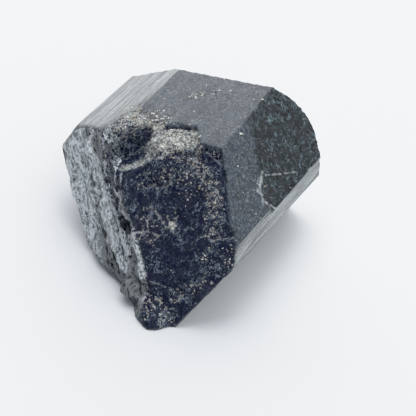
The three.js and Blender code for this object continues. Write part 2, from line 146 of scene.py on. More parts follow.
# Patches of pale dust or mica crust, as radius, strength and line.
PALE_PATCHES = (
    (3.0, 0.84, ((-0.1, -1.1, 20.9), (2.9, 0.2, 21.5), (6.1, 1.2, 22.1))),
    (2.6, 0.72, ((-8.5, 3.6, 21.2), (-7.4, 5.5, 21.7), (-4.0, 3.9, 22.1), (-1.6, 1.9, 22.1))),
    (1.0, 0.72, ((-4.2, -5.0, 16.3), (-1.6, -3.8, 17.7), (0.6, -2.9, 19.4))),
    (2.4, 0.25, ((3.6, -4.9, 17.8), (8.9, -3.7, 20.2))),
    (1.9, 0.35, ((11.2, -3.8, 20.0), (14.6, -6.0, 18.3), (15.2, -8.3, 16.2), (16.4, -9.9, 14.4))),
    (2.2, 0.3, ((2.9, -12.6, 9.6), (5.4, -12.0, 10.6))),
    (2.2, 0.18, ((3.7, -10.1, 12.5), (8.0, -10.2, 12.9))),
    (0.6, 0.95, ((8.5, -10.3, 12.8), (9.1, -10.5, 12.5))),
    (0.75, 0.85, ((3.7, -14.0, 8.4), (6.8, -16.6, 5.6))),
    (1.5, 0.22, ((13.2, -17.4, 3.9), (18.0, -14.3, 7.9), (20.6, -12.4, 10.6))),
    (2.4, 0.25, ((9.0, -18.6, 2.6), (13.3, -20.0, 1.0))),
    (1.2, 0.5, ((-10.6, -0.7, 20.2), (-12.6, -1.0, 18.8))),
    (1.0, 0.5, ((19.2, 13.5, 15.5), (19.1, 17.3, 15.7))),
    (0.9, 0.6, ((10.0, 3.4, 23.7), (11.8, 3.4, 23.9))),
    # The two patches on the left face weaken towards its lower end, which is left a darker grey there:
    # painted shade.
    (4.6, 0.9, ((-18.0, -1.2, 14.0), (-14.5, -4.5, 8.5), (-10.5, -8.0, 4.5))),
    (3.4, 0.42, ((-10.5, -8.0, 4.5), (-6.0, -12.4, 1.0))),
    (1.6, 0.8, ((-13.0, -2.2, 16.2), (-8.0, -7.0, 11.0), (-2.0, -12.0, 6.0), (2.0, -15.0, 4.0))),
)

# How pale the front and the ledges of the break are where no patch lies.
PALE_FRONT = 0.02
PALE_LEDGE = 0.45

# Distances from the left break's edge between which wear fades out, and the axis place where it stops (mm).
WEAR_FADE = (0.6, 2.4)
WEAR_END = 3

# The blunted corner at the left of the break, and the distances between which it fades out (mm).
BLUNT_CORNER = (-21.6, 0.3, 11.6)
BLUNT_FADE = (1.5, 4.5)

# The line that the streaks of the left face follow.
FALL_LINE = (0.57, -0.56, -0.60)

# Distance within which the solid's points are merged (mm).
WELD = 0.002

# Heights between which relief sets in over the plain rest face (mm).
PLAIN_HEIGHTS = (0.25, 0.9)

# Smoothing of the skin before its relief, as vertex group and number of passes.
SMOOTHING = (("worn", 45), ("corner", 80), ("rough", 4))

# Depth of the dark hollows (mm).
PIT_DEPTH = 0.5

# Guides along which relief is drawn out: direction and stretch.
GUIDES = {
    "lengthwise": ((0, 1, 0), 14),
    "downwards": (FALL_LINE, 5),
}

# Relief of the skin: name, size and height (mm), vertex group, and guide if it has one.
SWELLS = ("swells", 3.0, 1.9, "left", None)
RELIEF = (
    ("lumps", 1.5, 0.35, "rough", None),
    ("splinters", 0.6, 0.30, "rough", None),
    ("streaks", 0.7, 0.35, "left", "downwards"),
    ("jumble", 0.9, 0.6, "heap", "downwards"),
    ("grit", 0.45, 0.25, "ledge", None),
    ("etching", 0.8, 0.34, "etch", None),
    ("growth", 0.6, 0.05, "whole", "lengthwise"),
)

# Steps in which a vertex group's weights run.
WEIGHT_STEPS = 32

# Fields of the skin that the stone's material reads.
STONE_FIELDS = (
    "broken",
    "left_break",
    "ledge_break",
    "etched",
    "satin_side",
    "grown_end",
    "dark",
    "vein",
    "pale",
    "jumble",
    "lift",
)

# Size of the mica grains in the stone's material (mm), and the colour of the dull ones.
GRAIN = 0.34
DULL_MICA = (0.36, 0.31, 0.28)

# How strongly the stone and the mica mirror.
STONE_IOR = 1.56
STONE_SHINE = 0.22
MICA_IOR = 1.58

# Colours of the flakes, and of the stain on them.
SILVER_FLAKE = (0.78, 0.77, 0.71)
GOLD_FLAKE = (0.70, 0.56, 0.28)
DARK_FLAKE = (0.06, 0.065, 0.07)
FLAKE_STAIN = (0.30, 0.28, 0.24)

# Flakes: thickness of a plate of radius 1, its shape, usual lean (radians) and a full turn.
FLAKE_DEPTH = 0.22
FLAKE_SHAPE = (0.8, 0.7, 1)
FLAKE_LEAN = 0.42
FULL_TURN = 6.28

# Density of flakes everywhere, and what the front and the ledges of the break add.
FLAKES_PLAIN = 0.03
FLAKES_FRONT = 0.02
FLAKES_LEDGE = 0.8

# No flakes lie below this height (mm), and hollows lose this share of them.
FLAKES_FROM = 0.6
FLAKES_LOST = 0.93

# Flake clusters: place and radius (mm), and gain in density.
CLUSTER_GAIN = 0.35
FLAKE_CLUSTERS = (
    ((-1.6, 3.4, 22.4), 2.6, 26),
    ((-4.6, 2.6, 21.9), 2.6, 26),
    ((-8.0, 4.4, 21.4), 2.2, 14),
    ((4.8, -0.4, 22.6), 3.6, 12),
    ((9.4, -5.6, 18.6), 4.2, 2.5),
    ((12.5, -4.8, 19.3), 1.6, 6),
    ((8.0, -4.4, 18.9), 0.6, 30),
    ((11.0, -4.1, 19.1), 0.6, 30),
    ((15.0, -7.2, 17.2), 1.6, 7),
    ((16.6, -10.6, 13.8), 1.6, 6),
    ((19.8, -12.0, 12.0), 1.4, 8),
    ((16.4, -12.9, 11.1), 1.6, 6),
    ((-4.0, -8.4, 12.6), 1.5, 12),
    ((0.6, 12.4, 22.9), 1.3, 30),
    ((3.4, 14.6, 23.2), 1.2, 30),
    ((-0.2, 6.8, 22.8), 1.4, 8),
    ((11.0, 14.8, 24.0), 1.4, 5),
    ((13.2, 5.4, 23.2), 1.6, 5),
    ((18.6, 2.0, 16.6), 1.0, 12),
    ((18.3, -2.5, 17.1), 1.2, 5),
    ((8.9, -10.6, 12.5), 0.7, 30),
)

# The camera: place (mm), degrees round from -Y and down, and lens (mm).
CAMERA_PLACE = (97.9, -152.9, 147.6)
CAMERA_ROUND = 30.0
CAMERA_DOWN = 38.0
CAMERA_LENS = 112.5
CAMERA_NEAREST = 0.01

# Scene brightness and what is shown of it, and which of the view's curves acts on all colours at once.
TONE_CURVE = ((0.5, 0.5), (0.8, 0.775), (1.2, 0.925), (3.0, 0.955))
ALL_COLOURS = 3

# The room's light: its tint, the dim part's colour and middle (degrees round and up), and its border.
ROOM_TINT = (0.955, 0.985, 1.0)
DIM_TINT = (0.035, 0.055, 0.10)
DIM_CORNER = (-106, 36)
DIM_BORDER = (0.25, 0.70)

# Soft boxes: name, degrees round and up, distance, width and height in metres, and brightness.
SOFT_BOXES = (
    ("window low", 0, 7, 1.5, (2.2, 0.42), 4.2),
    ("window high", 0, 33, 1.5, (1.8, 0.8), 1.2),
    ("overhead", -10, 74, 1.4, (1.1, 1.0), 2.6),
)

# Width of the floor, in metres.
FLOOR_SIZE = 8


class CrystalSizes(bpy.types.PropertyGroup):
    """Sizes and colours of the stone."""

    grid: FloatProperty(
        name="Surface grid",
        description="Spacing of the stone's surface mesh",
        default=0.25 * MM,
        unit="LENGTH",
    )
    stone: FloatVectorProperty(
        name="Stone",
        description="Colour of fresh, glassy stone",
        subtype="COLOR",
        default=(0.0022, 0.0068, 0.036),
    )
    slate: FloatVectorProperty(
        name="Slate",
        description="Colour of the worn prism faces",
        subtype="COLOR",
        default=(0.040, 0.055, 0.080),
    )
    # Pale grey of the striped faces, also used for specks and marks; on the striped faces it stands in for
    # their grazing sheen: painted sheen.
    satin_grey_and_sheen: FloatVectorProperty(
        name="Satin",
        description="Colour of the finely striped faces",
        subtype="COLOR",
        default=(0.36, 0.38, 0.39),
    )
    etch: FloatVectorProperty(
        name="Etched",
        description="Light marks of the etched patch",
        subtype="COLOR",
        default=(0.095, 0.145, 0.170),
    )
    # Pale marks on the break: partly fine film, partly painted glints where its edges catch the light.
    stroke: FloatVectorProperty(
        name="Strokes",
        description="Colour of the fine strokes on the break",
        subtype="COLOR",
        default=(0.29, 0.36, 0.415),
    )
    # Pale film of the break; on the left face it is made light enough to stand in for that face's sheen: pale
    # dust and painted reflection.
    dust_and_sheen: FloatVectorProperty(
        name="Dust",
        description="Colour of the pale film on the break",
        subtype="COLOR",
        default=(0.76, 0.80, 0.82),
    )
    film: FloatVectorProperty(
        name="Mica film",
        description="Colour of the crusts of fine mica",
        subtype="COLOR",
        default=(0.52, 0.515, 0.48),
    )


class FlakeSizes(bpy.types.PropertyGroup):
    """Sizes and numbers of the mica flakes."""

    count: IntProperty(name="Flakes", description="How many flakes lie on the stone", default=2000)
    smallest: FloatProperty(
        name="Smallest",
        description="Radius of the smallest flake",
        default=0.06 * MM,
        unit="LENGTH",
    )
    largest: FloatProperty(
        name="Largest",
        description="Radius of the largest flake",
        default=0.34 * MM,
        unit="LENGTH",
    )
    seed: IntProperty(name="Seed", description="Seed of the scatter", default=11)


class StudioSettings(bpy.types.PropertyGroup):
    """The floor and the strength of the lights."""

    floor: FloatVectorProperty(
        name="Floor",
        description="Colour of the floor",
        subtype="COLOR",
        default=(0.86, 0.875, 0.89),
    )
    room: FloatProperty(name="Room", description="Strength of the even room light", default=1.3)


def smoothstep(low, high, value):
    """Nought below `low`, one above `high`, smooth between."""
    share = np.clip((value - low) / (high - low), 0.0, 1.0)
    return share * share * (3.0 - 2.0 * share)


def points_of(mesh):
    """The mesh's points, one a row."""
    flat = np.empty(len(mesh.vertices) * 3, dtype=np.float32)
    mesh.vertices.foreach_get("co", flat)
    return flat.reshape(-1, 3).astype(float)


def facing(turn, lean):
    """Direction that faces `turn` degrees round from -Y towards -X, and `lean` degrees up."""
    a, e = math.radians(turn), math.radians(lean)
    return np.array((-math.sin(a) * math.cos(e), -math.cos(a) * math.cos(e), math.sin(e)))


def side_depths(points):
    """Depth of points (mm) below each prism side, as one row a side."""
    share = (GROWN_Y - points[:, 1]) / (GROWN_Y - MIDDLE_Y)
    rows = []
    for name, following in zip(SIDES, SIDES[1:] + SIDES[:1]):
        start, end = (
            np.outer(1 - share, CORNERS[corner][0]) + np.outer(share, CORNERS[corner][1])
            for corner in (name, following)
        )
        run = end - start
        inward = np.stack((run[:, 1], -run[:, 0]), axis=1) / np.linalg.norm(run, axis=1)[:, None]
        rows.append(((points[:, (0, 2)] - start) * inward).sum(axis=1))
    return np.array(rows)


def break_depths(points):
    """Height of points (mm) over each plane of the break: nought on it, minus below it."""
    rows = {}
    for name, (turn, lean, through) in BREAK_FACES.items():
        rows[name] = (points - np.array(through)) @ facing(turn, lean)
    turn = math.radians(TERRACE_TURN)
    along = points @ np.array((math.cos(turn), math.sin(turn), 0))
    rows["terrace"] = np.where(along > TERRACE_END, OFF_TERRACE, rows["terrace"])
    return rows


def worn_edge(points):
    """Share in 0..1 of wear at the edge where the left break meets the prism sides."""
    away = np.hypot(break_depths(points)["left"], side_depths(points).min(axis=0))
    return (1 - smoothstep(*WEAR_FADE, away)) * (points[:, 1] < WEAR_END)


def ragged(points, size, seed):
    """Slow noise in -1..1 at each point (mm)."""
    shift = Vector((seed, 2.3 * seed, 0.7 * seed))
    return np.array([noise.noise(Vector(point) / size + shift) for point in points])


def line_distance(points, line):
    """Distance of each point (mm) from a line through the given places."""
    nearest = np.full(len(points), np.inf)
    for start, end in zip(line, line[1:]):
        begin, run = np.array(start), np.array(end) - np.array(start)
        share = np.clip((points - begin) @ run / (run @ run), 0, 1)
        nearest = np.minimum(nearest, np.linalg.norm(points - begin - share[:, None] * run, axis=1))
    return nearest


def regions(points):
    """Shares in 0..1 of the kinds of surface at each point (mm)."""
    depths = side_depths(points)
    shallow = depths.min(axis=0)
    heights = break_depths(points)
    near = np.max(list(heights.values()), axis=0)
    broken = smoothstep(0.2, 0.5, shallow) * smoothstep(-4.2, -3.2, near) * (points[:, 1] < BREAK_END)
    weights = {name: np.exp(np.clip(height - near, -8, 0) / FACE_BLEND) for name, height in heights.items()}
    total = sum(weights.values())
    part = {name: broken * weight / total for name, weight in weights.items()}
    on = {
        name: (depth < SIDE_DEPTH) & (depth - shallow < SIDE_SLACK)
        for name, depth in zip(SIDES, depths)
    }
    edge = np.interp(-points[:, 2], [-z for z, _ in ETCH_EDGE], [y for _, y in ETCH_EDGE])
    beyond = points[:, 1] - edge + 1.1 * ragged(points, 2.2, 4.0)
    etched = smoothstep(-0.3, 0.9, beyond) * on["ridge"] * (1 - broken)
    grown = smoothstep(0.3, 0.8, shallow) * (points[:, 1] > GROWN_START)
    whole = (1 - broken) * (1 - grown)
    return {
        "broken": broken,
        "left_break": part["left"],
        "front_break": part["front"] + part["foot"],
        "ledge_break": part["terrace"] + part["brow"],
        "etched": etched * whole,
        "satin_side": (on["crest"] | on["shoulder"] | on["left corner"]) * whole,
        "grown_end": grown,
    }


def cover(points, shares):
    """How dark and glassy, veined or lit along rims (painted highlight), pale or jumbled the stone is at each
    point (mm), in 0..1.
    """
    wander = ragged(points, 0.8, 2.0) + 0.6 * ragged(points, 0.35, 5.0)
    dark = np.zeros(len(points))
    for half, line in DARK_RUNS:
        away = line_distance(points, line) + 0.35 * half * wander
        dark = np.maximum(dark, 1 - smoothstep(0.75 * half, 1.05 * half, away))
    # A light band round each dark hollow: painted highlight on the hollow's rim.
    vein = 2.4 * dark * (1 - dark) * shares["broken"]
    for half, strength, line in VEINS:
        away = line_distance(points, line) + 0.22 * wander
        vein = np.maximum(vein, strength * (1 - smoothstep(0.4 * half, 1.3 * half, np.abs(away))))
    pale = PALE_FRONT * shares["front_break"] + PALE_LEDGE * shares["ledge_break"]
    for radius, strength, line in PALE_PATCHES:
        away = line_distance(points, line) / radius + 0.3 * wander
        pale = np.maximum(pale, strength * (1 - smoothstep(0.5, 1.15, away)))
    away = line_distance(points, JUMBLE_LINE) / JUMBLE_HALF + 0.25 * wander
    jumble = 1 - smoothstep(0.5, 1.1, away)
    return {
        "dark": dark,
        "vein": vein,
        "pale": pale * (1 - 0.8 * dark),
        "jumble": jumble * shares["broken"],
    }


def deselect():
    """Nothing is selected afterwards."""
    bpy.ops.object.select_all(action="DESELECT")


def make_active(piece):
    """Make the piece the only selected object and the active one."""
    deselect()
    piece.select_set(True)
    bpy.context.view_layer.objects.active = piece


def apply_modifier(piece, kind, **settings):
    """Add one modifier to the piece and apply it at once."""
    make_active(piece)
    modifier = piece.modifiers.new(kind.title(), kind)
    for name, value in settings.items():
        setattr(modifier, name, value)
    if bpy.ops.object.modifier_apply(modifier=modifier.name) != {"FINISHED"}:
        raise RuntimeError(f"{piece.name}: the {kind.lower()} modifier was not applied")


def weight_group(piece, name, weights):
    """A vertex group whose weights run in steps that are fine enough for relief."""
    group = piece.vertex_groups.new(name=name)
    steps = np.rint(np.clip(weights, 0, 1) * WEIGHT_STEPS).astype(int)
    for step in range(1, WEIGHT_STEPS + 1):
        members = np.nonzero(steps == step)[0]
        if len(members):
            group.add(members.tolist(), step / WEIGHT_STEPS, "REPLACE")


def keep_field(mesh, name, values):
    """A named value on each point, for the material to read."""
    field = mesh.attributes.new(name, "FLOAT", "POINT")
    field.data.foreach_set("value", np.asarray(values, dtype=np.float32))


def grain_frame(name, direction, stretch):
    """An empty whose local Z is `direction`; a texture read through it is drawn out along that line."""
    bpy.ops.object.empty_add()
    guide = bpy.context.object
    guide.name = name
    guide.rotation_mode = "QUATERNION"
    guide.rotation_quaternion = Vector(direction).to_track_quat("Z", "Y")
    guide.scale = (1, 1, stretch)
    bpy.context.view_layer.update()
    return guide


def press_relief(piece, name, size, height, group, guide):
    """Raise and lower the piece's points by cloudy noise of one size (mm), where the group says so."""
    texture = bpy.data.textures.new(name, "CLOUDS")
    texture.noise_basis = "ORIGINAL_PERLIN"
    texture.noise_depth = 2
    texture.noise_scale = size * MM
    settings = {"texture": texture, "strength": height * MM, "mid_level": 0.5, "vertex_group": group}
    settings["texture_coords"] = "OBJECT" if guide else "LOCAL"
    if guide:
        settings["texture_coords_object"] = guide
    apply_modifier(piece, "DISPLACE", **settings)


class Wire:
    """One socket of a material, with the arithmetic that the finishes use."""

    def __init__(self, bench, socket):
        self.bench = bench
        self.socket = socket

    def _maths(self, operation, first, second):
        return self.bench.add("ShaderNodeMath", {"operation": operation}, {0: first, 1: second})

    def __add__(self, other):
        return self._maths("ADD", self, other)

    def __sub__(self, other):
        return self._maths("SUBTRACT", self, other)

    def __rsub__(self, other):
        return self._maths("SUBTRACT", other, self)

    def __mul__(self, other):
        return self._maths("MULTIPLY", self, other)

    def __abs__(self):
        return self._maths("ABSOLUTE", self, 0.0)

    __radd__ = __add__
    __rmul__ = __mul__


class Bench:
    """A node tree, and one method that adds any node to it."""

    def __init__(self, tree):
        self.tree = tree
        self.tree.nodes.clear()

    def add(self, kind, settings=None, inputs=None, output=0):
        """Add a node with its settings and inputs, and give the named or numbered output."""
        node = self.tree.nodes.new(kind)
        for name, value in (settings or {}).items():
            setattr(node, name, value)
        for key, value in (inputs or {}).items():
            if isinstance(value, Wire):
                self.tree.links.new(value.socket, node.inputs[key])
            else:
                node.inputs[key].default_value = value
        return Wire(self, node.outputs[output]) if node.outputs else None

    def place(self, scale=(1, 1, 1), turn=(0, 0, 0)):
        """Object coordinates in millimetres, turned, then scaled along each axis."""
        here = self.add("ShaderNodeTexCoord", output="Object")
        turned = self.add("ShaderNodeMapping", {"vector_type": "POINT"}, {"Vector": here, "Rotation": turn})
        return self.add(
            "ShaderNodeVectorMath",
            {"operation": "MULTIPLY"},
            {0: turned, 1: tuple(1000 * factor for factor in scale)},
        )

    def noise(self, where, size, detail=3.0, rough=0.55, warp=0.0):
        """Cloudy noise whose largest cells are about `size` millimetres."""
        inputs = {"Scale": 1 / size, "Detail": detail, "Roughness": rough, "Distortion": warp}
        return self.add("ShaderNodeTexNoise", inputs={"Vector": where, **inputs})

    def field(self, name):
        """A value that the mesh keeps on its points."""
        return self.add("ShaderNodeAttribute", {"attribute_name": name}, output="Fac")

    def between(self, low, high, value):
        """Nought below `low`, one above `high`, smooth between."""
        return self.add(
            "ShaderNodeMapRange",
            {"interpolation_type": "SMOOTHSTEP"},
            {"Value": value, "From Min": low, "From Max": high},
        )

    def colour(self, share, low, high):
        """The colour `low` where the share is nought, `high` where it is one."""
        low, high = (c if isinstance(c, Wire) else (*c, 1) for c in (low, high))
        return self.add("ShaderNodeMix", {"data_type": "RGBA"}, {0: share, 6: low, 7: high}, output=2)

    def falling(self):
        """Object coordinates drawn out along the line that the left face's streaks follow."""
        upright = Vector(FALL_LINE).rotation_difference(Vector((0, 0, 1)))
        fallen = self.place(turn=upright.to_euler())
        return self.add("ShaderNodeVectorMath", {"operation": "MULTIPLY"}, {0: fallen, 1: (1.0, 1.0, 0.30)})

    def grains(self, where, size):
        """A random value for each small splinter-like grain."""
        inputs = {"Vector": where, "Scale": 0.5 / size, "Detail": 2.0}
        sway = self.add("ShaderNodeTexNoise", inputs=inputs, output="Color")
        sway = self.add("ShaderNodeVectorMath", {"operation": "SCALE"}, {0: sway, "Scale": 5 * size})
        swayed = self.add("ShaderNodeVectorMath", {"operation": "ADD"}, {0: where, 1: sway})
        inputs = {"Vector": swayed, "Scale": 1 / size}
        colour = self.add("ShaderNodeTexVoronoi", {"feature": "F1"}, inputs, output="Color")
        return self.add("ShaderNodeSeparateColor", inputs={"Color": colour})

    def strokes(self, where, size, width):
        """Thin curved strokes, where noise passes through its middle value, with gaps in them."""
        value = self.noise(where, size, detail=2, rough=0.5, warp=1.2)
        line = 1 - self.between(0.35 * width, width, abs(value - 0.5))
        return line * self.between(0.42, 0.58, self.noise(where, 0.9 * size, detail=1))

    def torn(self, share, where):
        """A soft share made a crisp one with a ragged border."""
        tears = self.noise(where, 0.6, detail=3, rough=0.65)
        return self.between(0.42, 0.58, share + 0.9 * tears - 0.45)

    def bump(self, height, strength, distance, under=None):
        """Fine relief from a height, laid over the relief `under` it if there is one."""
        inputs = {"Height": height, "Strength": strength, "Distance": distance}
        if under:
            inputs["Normal"] = under
        return self.add("ShaderNodeBump", inputs=inputs)

    def finish(self, **inputs):
        """The surface that the material ends in."""
        inputs = {name.replace("_", " "): value for name, value in inputs.items()}
        shader = self.add("ShaderNodeBsdfPrincipled", inputs=inputs)
        self.add("ShaderNodeOutputMaterial", inputs={"Surface": shader})


def new_material(name):
    """An empty material and the bench to build it on."""
    material = bpy.data.materials.new(name)
    material.use_nodes = True
    return material, Bench(material.node_tree)


def scaled(colour, factor):
    """The colour made lighter or darker."""
    return tuple(factor * channel for channel in colour)


def prism_colour(bench, sizes, on, strokes):
    """Worn slate, pale satin lines on some faces, and the etched patch. The satin faces' pale grey stands in
    for their grazing sheen: painted sheen.
    """
    here = bench.place()
    mottle = bench.noise(here, 1.6, detail=6, rough=0.75)
    fleck = bench.noise(here, 0.45, detail=3, rough=0.75)
    specks = bench.between(0.57, 0.68, fleck)
    worn = bench.between(0.36, 0.64, mottle)
    slate = bench.colour(worn, scaled(sizes.slate, 0.45), scaled(sizes.slate, 1.15))
    slate = bench.colour(bench.between(0.5, 0.3, fleck) * 0.8, slate, scaled(sizes.slate, 0.2))
    slate = bench.colour(strokes * 0.35, slate, scaled(sizes.satin_grey_and_sheen, 0.6))
    slate = bench.colour(specks * 0.65, slate, scaled(sizes.satin_grey_and_sheen, 0.85))
    lines = bench.noise(bench.place(scale=(1, 0.03, 1)), 0.4, detail=4, rough=0.75)
    # The striped faces: pale grey with darker growth stripes, the pale grey being painted sheen from light
    # caught at a glancing angle.
    satin_grey_and_sheen = bench.colour(bench.between(0.36, 0.62, lines), scaled(sizes.satin_grey_and_sheen, 0.35), sizes.satin_grey_and_sheen)
    satin_grey_and_sheen = bench.colour(specks * 0.85, satin_grey_and_sheen, scaled(sizes.satin_grey_and_sheen, 0.12))
    pits = bench.between(0.42, 0.62, bench.noise(here, 0.7, detail=4, rough=0.7))
    etched = bench.colour(pits, scaled(sizes.slate, 0.04), scaled(sizes.slate, 0.16))
    sparse = 0.08 + 0.6 * bench.between(0.44, 0.6, mottle)
    etched = bench.colour(strokes * sparse, etched, scaled(sizes.etch, 1.9))
    etched = bench.colour(specks * 0.35, etched, scaled(sizes.etch, 1.4))
    return bench.colour(on.etched, bench.colour(on.satin_side, slate, satin_grey_and_sheen), etched)


def left_colour(bench, sizes, on, fleck, fall):
    """The left face of the break: pale dust in threads, made light enough to stand in for its sheen (painted
    reflection), with dark stone in the low streaks, darkest where the relief is pressed in (painted shade),
    and a darker grey outside the pale patches that leaves its lower end darker (painted shade).
    """
    # Dark slate in the low streaks of the noise that also sets the face's bump, and where the relief was
    # pressed in: dark stone showing through, and painted shade in the grooves.
    streak_and_groove_shade = bench.between(-0.02, 0.07, fall - 0.45 + 0.12 * on.pale + 0.3 * on.lift)
    threads = bench.noise(bench.falling(), 0.5, detail=5, rough=0.75, warp=0.5)
    mixed = 0.5 * fleck + 0.5 * bench.between(0.36, 0.62, threads)
    # Pale threads of dust, lighter than a dull film would be: painted reflection standing in for the face's
    # sheen.
    dust_and_sheen = bench.colour(bench.between(0.2, 0.8, mixed), scaled(sizes.dust_and_sheen, 0.28), scaled(sizes.dust_and_sheen, 1.48))
    # Outside the pale patches the left face turns a darker grey, which leaves its lower end darker: painted
    # shade.
    dust_and_sheen = bench.colour(bench.between(0.0, 0.6, on.pale), scaled(sizes.satin_grey_and_sheen, 0.8), dust_and_sheen)
    return bench.colour(streak_and_groove_shade, scaled(sizes.slate, 0.25), dust_and_sheen)


def grain_colour(bench, sizes, on):
    """Mica grains, duller and browner where they are few."""
    shade = bench.between(0.3, 0.7, bench.noise(bench.place(), 0.4, detail=2))
    grain = bench.colour(shade, scaled(sizes.film, 0.55), scaled(sizes.film, 1.9))
    return bench.colour(bench.between(0.65, 0.3, on.pale) * 0.6, grain, DULL_MICA)


def broken_colour(bench, sizes, on, strokes, fall, grains):
    """Dark glass with fine pale strokes that are partly painted glints, pale veins and rims that are partly
    painted highlights, the dusty left face with its painted sheen and shade, and crusts of bright mica
    grains.
    """
    here = bench.place()
    left, dark, jumble = (bench.torn(share, here) for share in (on.left_break, on.dark, on.jumble))
    mottle = bench.noise(here, 2.4, detail=4, rough=0.6)
    fleck = bench.between(0.32, 0.68, bench.noise(here, 0.6, detail=4, rough=0.75))
    surface = bench.colour(bench.between(0.5, 0.8, mottle) * 0.15, sizes.stone, sizes.slate)
    surface = bench.colour(left, surface, left_colour(bench, sizes, on, fleck, fall))
    crust = bench.between(0.45, 0.72, on.pale) * (1 - left)
    surface = bench.colour(crust * 0.8, surface, scaled(sizes.film, 0.25))
    heap = bench.between(0.44, 0.54, bench.noise(bench.falling(), 0.6, detail=4, rough=0.7, warp=1.0))
    heaped = bench.colour(heap, sizes.stone, scaled(sizes.dust_and_sheen, 1.1))
    surface = bench.colour(jumble * 0.95, surface, heaped)
    # Pale veins and rims on the break, partly painted highlight.
    surface = bench.colour(on.vein * bench.between(0.2, 0.45, fleck), surface, scaled(sizes.dust_and_sheen, 0.9))
    surface = bench.colour(dark * (0.95 - 0.28 * jumble * heap), surface, sizes.stone)
    share = on.pale * (0.45 + 0.85 * fleck) + 0.12 * dark
    bright = bench.between(0.0, 0.10, share + grains - 1.0) * (1 - left)
    surface = bench.colour(bright, surface, grain_colour(bench, sizes, on))
    # Pale strokes over the break: partly film marks, partly painted glints on its edges.
    patches = 0.11 + 0.25 * dark + 0.64 * bench.between(0.46, 0.62, mottle + 0.2 * on.pale)
    return bench.colour(strokes * patches * (1 - 0.7 * left), surface, sizes.stroke)


def stone_bump(bench, on, fall, grains):
    """Fine relief: growth lines, worn skin, splintered break, mica grains and fallen streaks."""
    here = bench.place()
    lines = bench.noise(bench.place(scale=(1, 0.04, 1)), 0.5, detail=3, rough=0.65)
    growth = bench.bump(lines * (0.08 + 0.92 * on.satin_side), 0.6, 0.15 * MM)
    skin = bench.bump(bench.noise(here, 0.9, detail=5, rough=0.7), 0.4, 0.10 * MM, growth)
    chips = abs(bench.noise(here, 1.1, detail=3, rough=0.6, warp=1.0) - 0.5)
    chipped = on.broken + on.etched * 0.6 + on.grown_end * 0.6
    hackle = bench.bump(chips * chipped, 1.0, -0.9 * MM, skin)
    crust = (on.ledge_break + on.pale) * (1 - on.left_break)
    grained = bench.bump(grains * crust, 1.0, 0.08 * MM, hackle)
    return bench.bump(fall * on.left_break, 1.0, 0.40 * MM, grained)


def stone_material(sizes):
    """The whole stone, told apart by the fields that its skin keeps."""
    material, bench = new_material("tourmaline stone")
    on = SimpleNamespace(**{name: bench.field(name) for name in STONE_FIELDS})
    here = bench.place()
    # Fine pale strokes, partly painted glints on the break's edges.
    strokes = bench.strokes(here, 1.3, 0.035) + bench.strokes(here, 0.62, 0.055)
    strokes = bench.between(0.0, 1.0, strokes)
    fall = bench.noise(bench.falling(), 0.9, detail=6, rough=0.72, warp=0.6)
    grains = bench.grains(here, GRAIN)
    surface = bench.colour(
        on.broken,
        prism_colour(bench, sizes, on, strokes),
        broken_colour(bench, sizes, on, strokes, fall, grains),
    )
    # Pale lines on the prism faces, those along the edges painted highlights.
    surface = bench.colour(on.vein * (1 - on.broken) * 0.9, surface, scaled(sizes.dust_and_sheen, 1.2))
    surface = bench.colour(on.grown_end, surface, sizes.slate)
    roughness = 0.42 + 0.10 * on.satin_side - 0.16 * on.broken
    roughness = roughness + 0.3 * (on.pale * on.broken) + 0.05 * on.etched
    bench.finish(
        Base_Color=surface,
        Roughness=roughness,
        IOR=STONE_IOR,
        Specular_IOR_Level=STONE_SHINE,
        Normal=stone_bump(bench, on, fall, grains),
    )
    return material


def flake_material():
    """Silvery mica plates, some gold and some dark, by each flake's own tone."""
    material, bench = new_material("mica")
    tone = bench.field("tone")
    shade = bench.noise(bench.place(), 0.25, detail=1)
    plate = bench.colour(bench.between(0.84, 0.94, tone), SILVER_FLAKE, GOLD_FLAKE)
    plate = bench.colour(bench.between(0.05, 0.5, tone), DARK_FLAKE, plate)
    plate = bench.colour(bench.between(0.3, 0.7, shade) * 0.5, plate, FLAKE_STAIN)
    bench.finish(Base_Color=plate, Roughness=0.28 + 0.15 * shade, IOR=MICA_IOR)
    return material


def floor_material(settings):
    """A matt, pale floor with a faint tooth."""
    material, bench = new_material("pale board")
    cloud = bench.noise(bench.place(), 60, detail=2)
    tint = bench.colour(cloud, scaled(settings.floor, 0.985), settings.floor)
    tooth = bench.bump(bench.noise(bench.place(), 0.4, detail=2), 0.15, 0.05 * MM)
    bench.finish(Base_Color=tint, Roughness=0.62 + 0.1 * cloud, Normal=tooth)
    return material


